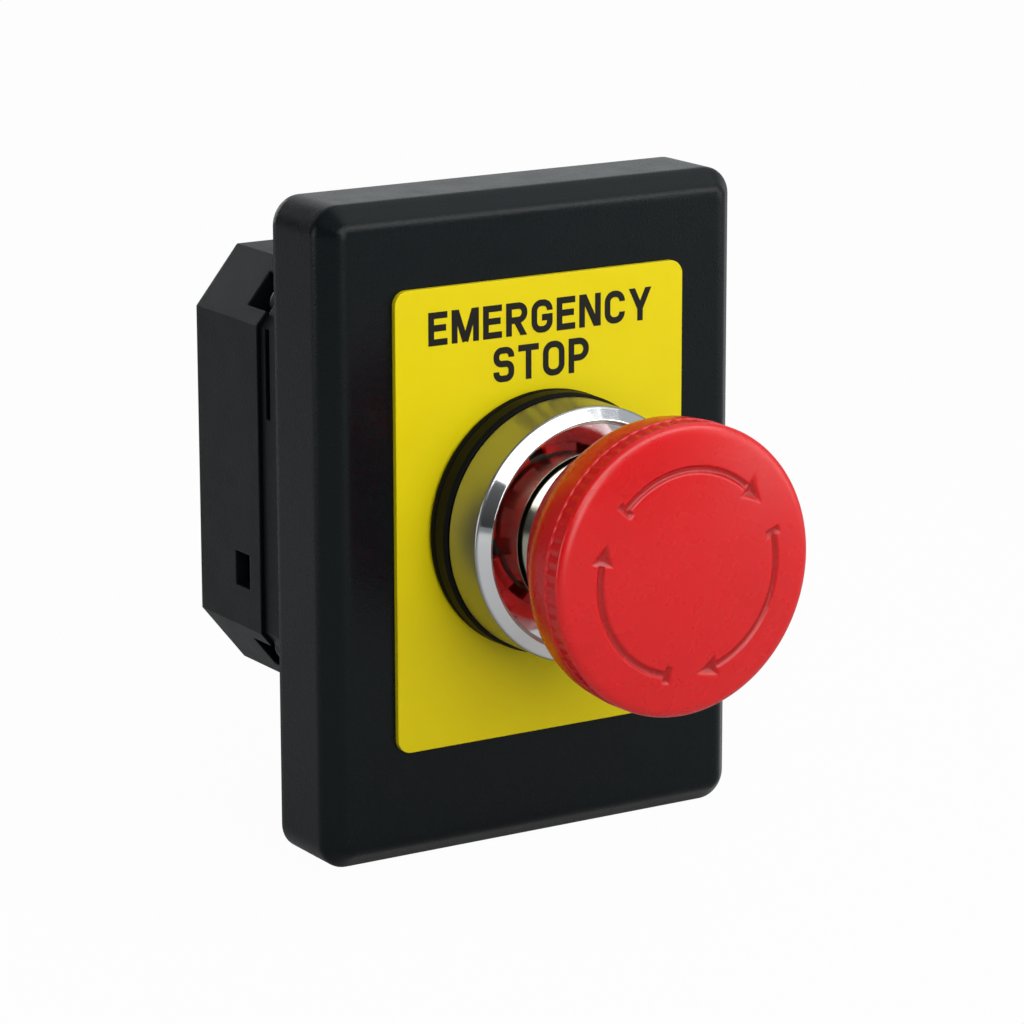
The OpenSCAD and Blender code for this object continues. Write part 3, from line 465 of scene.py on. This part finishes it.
def rear_web(vertices, faces):
    """The slotted web between the neck and the rear rim, as arched plates between the slots."""
    web_r, web_low, web_high = inner_r + 0.9, head_z + 0.3, head_z + 1.7
    slot_a, parts = 15, 10
    section = ((hub_r, web_low), (web_r, web_low), (web_r, web_high), (hub_r, web_high))
    for n in range(ribs):
        first, span = 360 * (n - 0.25) / ribs + slot_a / 2, 360 / ribs - slot_a
        start = len(vertices)
        for i in range(parts + 1):
            a = math.radians(first + span * i / parts)
            vertices += [(r * math.cos(a), r * math.sin(a), w) for r, w in section]
        end = start + 4 * parts
        for p in range(start, end, 4):
            faces += [(p + 4 + k, p + 4 + (k + 1) % 4, p + (k + 1) % 4, p + k) for k in range(4)]
        faces += [(start, start + 1, start + 2, start + 3), (end + 3, end + 2, end + 1, end)]


def inner_ribs(vertices, faces):
    """Ribs from the hub to the wall, let into both."""
    rib_t, sunk = 1.4, 0.4
    profile = [(hub_r, head_z + 0.6), (inner_r + 0.45, head_z + 0.6),
               (wide_r + sunk, head_z + flare_h - 0.5), (wide_r + sunk, inner_top + 0.2),
               (hub_r, inner_top + 0.2)]
    count = len(profile)
    for n in range(ribs):
        a = math.radians(360 * (n + 0.25) / ribs)
        out, side = Vector((math.cos(a), math.sin(a))), Vector((-math.sin(a), math.cos(a)))
        start = len(vertices)
        for half_t in (-rib_t / 2, rib_t / 2):
            for r, w in profile:
                p = out * r + side * half_t
                vertices.append((p.x, p.y, w))
        faces.append(tuple(start + i for i in range(count)))
        faces.append(tuple(start + count + i for i in reversed(range(count))))
        for i in range(count):
            k = (i + 1) % count
            faces.append((start + k, start + i, start + count + i, start + count + k))


def mushroom_head():
    """The head as one piece, with its grooves marked by the attribute cut, which its material uses for
    painted shade.
    """
    vertices, faces = [], []
    cuts = head_skin(vertices, faces)
    rear_web(vertices, faces)
    inner_ribs(vertices, faces)
    head = add_mesh("head_shell", vertices, faces, looks["head_red"], "knob")
    shares = head.data.attributes.new("cut", "FLOAT", "POINT")
    for index, share in cuts.items():
        shares.data[index].value = share
    head.data.set_sharp_from_angle(angle=math.radians(38))
    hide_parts("mushroom_head")


# Springs listed as scaled by the push, copied from their CAD meshes
def spring_coil(node):
    """A copy of a spring's CAD mesh in the spring's place, attached to the station, with the spring's
    node hidden.
    """
    coil = bpy.data.objects.new(node.replace("spring", "coil"), nodes[node].data.copy())
    coil.matrix_world = nodes[node].matrix_world.copy()
    bpy.context.scene.collection.objects.link(coil)
    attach(coil, "station")
    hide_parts(node)
    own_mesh(coil)


mushroom_head()
push = next(joint for joint in frame["record"]["behaviour"]["joints"] if joint["name"] == "push")
for row in push["deforming_nodes"]:
    if row["mode"] == "scale_y":
        spring_coil(row["node"])


# Words on the legend plate, in millimetres
stroke = 0.9
ink = 0.05
letter_gap = 0.68
letter_w = {"E": 3.0, "M": 4.3, "R": 3.4, "G": 3.4, "N": 3.5, "C": 3.3, "Y": 3.7, "S": 3.3,
            "T": 3.3, "O": 3.5, "P": 3.3}


def rounded_path(points, radius):
    """The line through points with its inner corners rounded."""
    out = [Vector(points[0])]
    for a, b, c in zip(points, points[1:], points[2:]):
        out += [Vector(p) for p in arc_corner(a, b, c, radius, 7)] if radius else [Vector(b)]
    return out + [Vector(points[-1])]


def band(points):
    """Quads of a stroke along the points, mitred where it turns."""
    sides = []
    for i, p in enumerate(points):
        ways = []
        if i > 0:
            ways.append((p - points[i - 1]).normalized())
        if i < len(points) - 1:
            ways.append((points[i + 1] - p).normalized())
        way = sum(ways, Vector((0, 0))).normalized()
        side = Vector((-way.y, way.x)) * stroke / 2 / max(0.3, way.dot(ways[0]))
        sides.append((p + side, p - side))
    return [[a[0], a[1], b[1], b[0]] for a, b in zip(sides, sides[1:])]


def clipped(quad, low, high):
    """The part of a convex face whose height lies between low and high."""
    for level, sign in ((low, 1), (high, -1)):
        out = []
        for p, q in zip(quad, quad[1:] + quad[:1]):
            over_p, over_q = sign * (p.y - level), sign * (q.y - level)
            if over_p >= 0:
                out.append(p)
            if over_p * over_q < 0:
                out.append(p.lerp(q, over_p / (over_p - over_q)))
        quad = out
    return quad


def line(*points, radius=0):
    """A stroke of a letter: its points, and the radius of its corners."""
    return points, radius


def letter(sign, h):
    """Width and convex faces of a bold condensed capital of height h, from its own strokes.
    Slanted strokes run past the letter's height, where they are cut off level."""
    w = letter_w[sign]
    half = stroke / 2
    left, right, foot, head = half, w - half, half, h - half
    middle, centre = 0.52 * h, w / 2
    turn = min(0.98 * (right - left) / 2, 0.235 * h)
    stem, far_stem = line((left, 0), (left, h)), line((right, 0), (right, h))
    bowl_foot = 0.47 * h if sign == "R" else 0.43 * h
    bowl = line((left, head), (right, head), (right, bowl_foot), (left, bowl_foot),
                radius=0.49 * (head - bowl_foot))
    hook = ((right, 0.66 * h), (right, head), (left, head), (left, foot), (right, foot))
    fork, fork_top = (centre, 0.38 * h), h + 0.5
    strokes = {
        "E": [stem, line((left, foot), (w, foot)), line((left, middle), (0.93 * w, middle)),
              line((left, head), (w, head))],
        "M": [stem, far_stem, line((left, h + 0.6), (centre, 0.1)),
              line((right, h + 0.6), (centre, 0.1))],
        "R": [stem, bowl, line((centre - 0.1, bowl_foot), (right + 0.05, -0.3))],
        "G": [line(*hook, (right, 0.5 * h), radius=turn), line((w, 0.46 * h), (centre, 0.46 * h))],
        "N": [stem, far_stem, line((left, h + 0.35), (right, -0.35))],
        "C": [line(*hook, (right, 0.34 * h), radius=turn)],
        "Y": [line((left - 0.2, fork_top), fork), line((right + 0.2, fork_top), fork),
              line((centre, 0), (centre, 0.45 * h))],
        "S": [line((right, 0.7 * h), (right, head), (left, head), (left, middle), (right, middle),
                   (right, foot), (left, foot), (left, 0.3 * h), radius=0.45 * (head - middle))],
        "T": [line((centre, 0), (centre, h)), line((0, head), (w, head))],
        "O": [line((left, h / 2), (left, end), (right, end), (right, h / 2), radius=turn)
              for end in (head, foot)],
        "P": [stem, bowl],
    }[sign]
    quads = [clipped(quad, 0, h) for points, radius in strokes
             for quad in band(rounded_path(points, radius))]
    return w, [quad for quad in quads if len(quad) > 2]


def word(name, text, height, base):
    """Capitals of that height, centred on the plate with their feet at base, as a thin layer of ink."""
    x, quads = 0, []
    for sign in text:
        w, shapes = letter(sign, height)
        quads += [[p + Vector((x, 0)) for p in quad] for quad in shapes]
        x += w + letter_gap
    middle = (x - letter_gap) / 2
    points, faces = [], []
    for quad in quads:
        faces.append(list(range(len(points), len(points) + len(quad))))
        points += [p - Vector((middle, 0)) for p in quad]
    tolerance = 0.0005
    flat, _, found, _, _, sources = delaunay_2d_cdt(points, [], faces, 1, tolerance)
    triangles = [tuple(t) for t, source in zip(found, sources) if source]
    plate = -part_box("legend_plate")[0].y / MM
    count = len(flat)
    vertices = [(p.x, p.y + base, plate + side * ink) for side in (1, -1) for p in flat]
    solid = triangles + [tuple(i + count for i in reversed(t)) for t in triangles]
    rims = {(t[i], t[i - 2]) for t in triangles for i in range(3)}
    solid += [(b, a, a + count, b + count) for a, b in rims if (b, a) not in rims]
    piece = add_mesh(name, vertices, solid, looks["legend_ink"], "station", smooth=False)


word("legend_word_upper", "EMERGENCY", 4.6, 26.08)
word("legend_word_lower", "STOP", 4.85, 19.87)


# Camera, light and floor
def camera():
    """The photograph's camera: angles in degrees, places in millimetres, focal length in pixels."""
    yaw, pitch, roll = math.radians(31.88), math.radians(13.69), math.radians(-0.13)
    focal, picture_w, sensor_w = 4346.62, 1024, 36
    shift_right, shift_up, distance = 3.74, -2.18, 613.35
    back = Vector((-math.sin(yaw) * math.cos(pitch), -math.cos(yaw) * math.cos(pitch), math.sin(pitch)))
    level = (-back).cross(Vector((0, 0, 1))).normalized()
    upright = level.cross(-back)
    right = level * math.cos(roll) + upright * math.sin(roll)
    up = upright * math.cos(roll) - level * math.sin(roll)
    place = (right * shift_right + up * shift_up + back * distance) * MM
    data = bpy.data.cameras.new("camera")
    data.sensor_width = sensor_w
    data.lens = focal / picture_w * sensor_w
    data.clip_start, data.clip_end = 0.05, 20
    made = bpy.data.objects.new("camera", data)
    made.matrix_world = Matrix((
        (right.x, up.x, back.x, place.x),
        (right.y, up.y, back.y, place.y),
        (right.z, up.z, back.z, place.z),
        (0, 0, 0, 1)))
    bpy.context.scene.collection.objects.link(made)
    bpy.context.scene.camera = made


def softbox(name, place, aim, size, watts, spread=180):
    """A rectangular lamp at place that shines towards aim, with its beam's spread in degrees."""
    data = bpy.data.lights.new(name, "AREA")
    data.shape = "RECTANGLE"
    data.size, data.size_y = size
    data.energy = watts
    data.spread = math.radians(spread)
    lamp = bpy.data.objects.new(name, data)
    lamp.location = place
    lamp.rotation_mode = "QUATERNION"
    lamp.rotation_quaternion = (Vector(aim) - Vector(place)).to_track_quat("-Z", "Y")
    bpy.context.scene.collection.objects.link(lamp)


mirror_share = 0.09


def backdrop_share(tree, seen, mirrored):
    """Share of plain white: seen for the camera, a little of it in reflections as mirrored says,
    and none in the light that falls on the object."""
    path = tree.nodes.new("ShaderNodeLightPath").outputs
    for_camera = math_node(tree, "MULTIPLY", path["Is Camera Ray"], seen)
    bounced = math_node(tree, "MAXIMUM", path["Is Glossy Ray"], path["Is Transmission Ray"])
    bounced = math_node(tree, "MULTIPLY", math_node(tree, "MULTIPLY", bounced, mirror_share), mirrored)
    return math_node(tree, "MAXIMUM", for_camera, bounced)


def world():
    """A dim studio, a little brighter overhead and towards the back right, on a white backdrop."""
    sky_level, sky_up, sky_right, sky_rear, sky_least = 0.13, 0.18, 0.25, 0.06, 0.03
    sky_colour = (0.88, 0.95, 1.0, 1)
    haze_rise, horizon = 2.0, 0.1
    made = bpy.data.worlds.new("studio")
    made.use_nodes = True
    tree = made.node_tree
    tree.nodes.clear()
    split = tree.nodes.new("ShaderNodeSeparateXYZ")
    tree.links.new(tree.nodes.new("ShaderNodeTexCoord").outputs["Generated"], split.inputs[0])
    x, y, z = split.outputs
    level = math_node(tree, "MULTIPLY", math_node(tree, "ADD", z, horizon), sky_up)
    level = math_node(tree, "ADD", level, math_node(tree, "MULTIPLY", x, sky_right))
    level = math_node(tree, "ADD", level, math_node(tree, "MULTIPLY", y, sky_rear))
    level = math_node(tree, "MAXIMUM", math_node(tree, "ADD", level, sky_level), sky_least)
    haze = math_node(tree, "ADD", math_node(tree, "MULTIPLY", z, haze_rise), horizon)
    haze = math_node(tree, "MINIMUM", haze, 1.0)
    light, backdrop = tree.nodes.new("ShaderNodeBackground"), tree.nodes.new("ShaderNodeBackground")
    light.inputs["Color"].default_value = sky_colour
    backdrop.inputs["Color"].default_value = (1, 1, 1, 1)
    mix, out = tree.nodes.new("ShaderNodeMixShader"), tree.nodes.new("ShaderNodeOutputWorld")
    tree.links.new(level, light.inputs["Strength"])
    tree.links.new(backdrop_share(tree, 1.0, haze), mix.inputs["Fac"])
    tree.links.new(light.outputs[0], mix.inputs[1])
    tree.links.new(backdrop.outputs[0], mix.inputs[2])
    tree.links.new(mix.outputs[0], out.inputs["Surface"])
    bpy.context.scene.world = made


def floor():
    """A pale matt floor just under the object, nearly white to the camera, with its shadow on it."""
    gap = 0.0002
    size, z = 4, cad_box[0].z - gap
    colour, whiteness, mirrored = (0.45, 0.45, 0.45), 0.975, 1.4
    mesh = bpy.data.meshes.new("floor")
    corners = [(-size, -size, z), (size, -size, z), (size, size, z), (-size, size, z)]
    mesh.from_pydata(corners, [], [(0, 1, 2, 3)])
    piece = bpy.data.objects.new("floor", mesh)
    bpy.context.scene.collection.objects.link(piece)
    paint = bpy.data.materials.new("floor_white")
    paint.use_nodes = True
    tree = paint.node_tree
    shader, out = tree.nodes["Principled BSDF"], tree.nodes["Material Output"]
    shader.inputs["Base Color"].default_value = (*colour, 1)
    shader.inputs["Roughness"].default_value = 0.9
    shader.inputs["Specular IOR Level"].default_value = 0.1
    white, mix = tree.nodes.new("ShaderNodeEmission"), tree.nodes.new("ShaderNodeMixShader")
    tree.links.new(backdrop_share(tree, whiteness, mirrored), mix.inputs["Fac"])
    tree.links.new(shader.outputs[0], mix.inputs[1])
    tree.links.new(white.outputs[0], mix.inputs[2])
    tree.links.new(mix.outputs[0], out.inputs["Surface"])
    mesh.materials.append(paint)


camera()
world()
floor()
front_face = (0, -0.03, 0)
softbox("key", (0.06, -0.49, 0.44), front_face, (1.3, 0.26), 4.05)
softbox("front", (-0.165, -0.80, 0.18), front_face, (0.35, 0.35), 1.6)
softbox("fill", (0.52, -0.38, 0.05), front_face, (0.35, 0.35), 0.8)
softbox("top", (0.26, -0.04, 0.6), (0, 0, 0.02), (0.5, 0.5), 0.5)
softbox("rear", (0.65, 0.95, 0.35), (0, 0, 0), (1.2, 1.0), 1.0)
softbox("back", (0, 1.1, 0.1), (0, 0, 0), (0.5, 0.5), 2.0)
softbox("side", (-0.60, 0.12, 0.0), (0, -0.035, 0), (0.16, 0.4), 0.9)
# A narrow beam through the gap behind the head, which lights its rear web
softbox("gap", (-0.30, 0.10, 0.03), (-0.013, -0.0322, 0), (0.004, 0.03), 0.0034, spread=0.5)

bpy.context.scene.view_settings.view_transform = "Standard"
